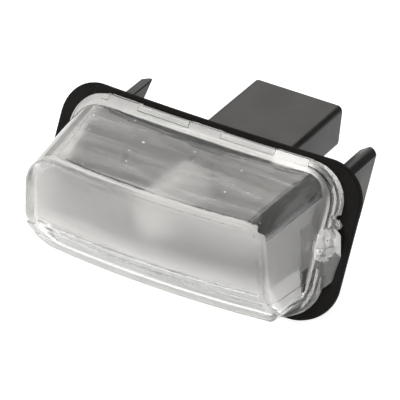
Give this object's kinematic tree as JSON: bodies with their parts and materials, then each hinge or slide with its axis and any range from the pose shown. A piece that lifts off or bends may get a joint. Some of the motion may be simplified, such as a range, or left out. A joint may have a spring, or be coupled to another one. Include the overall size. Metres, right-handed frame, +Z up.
{
  "type": "number plate lamp",
  "caption": "Clip-in vehicle number plate lamp: clear box lens with rim and snap lugs, black seal, black housing with plug socket, hook fin, retaining tongue, wedge bulb.",
  "frame": {"origin": "centre of the panel seat, on the chord plane of the gasket's back face", "axes": "+X along the width to the retaining tongue, +Y back into the vehicle body along the plug direction, +Z up; the lens points to -Y and the seat leans back 25 degrees about X"},
  "size_m": [0.0705, 0.0556, 0.0327],
  "materials": {
    "clear_plastic": "clear acrylic, polished outside, matt-etched inside",
    "seal_rubber": "matt soft rubber",
    "black_plastic": "satin moulded",
    "bulb_glass": "clear glass",
    "tungsten": "dull drawn wire",
    "lead_wire": "drawn wire",
    "contact_brass": "stamped strip"
  },
  "bodies": {
    "root": {"lens": "clear_plastic", "gasket": "seal_rubber", "housing": "black_plastic", "bulb_glass": "bulb_glass", "filament": "tungsten", "lead_wire_lower": "lead_wire", "lead_wire_upper": "lead_wire", "terminal_left": "contact_brass", "terminal_right": "contact_brass"}
  },
  "joints": []
}
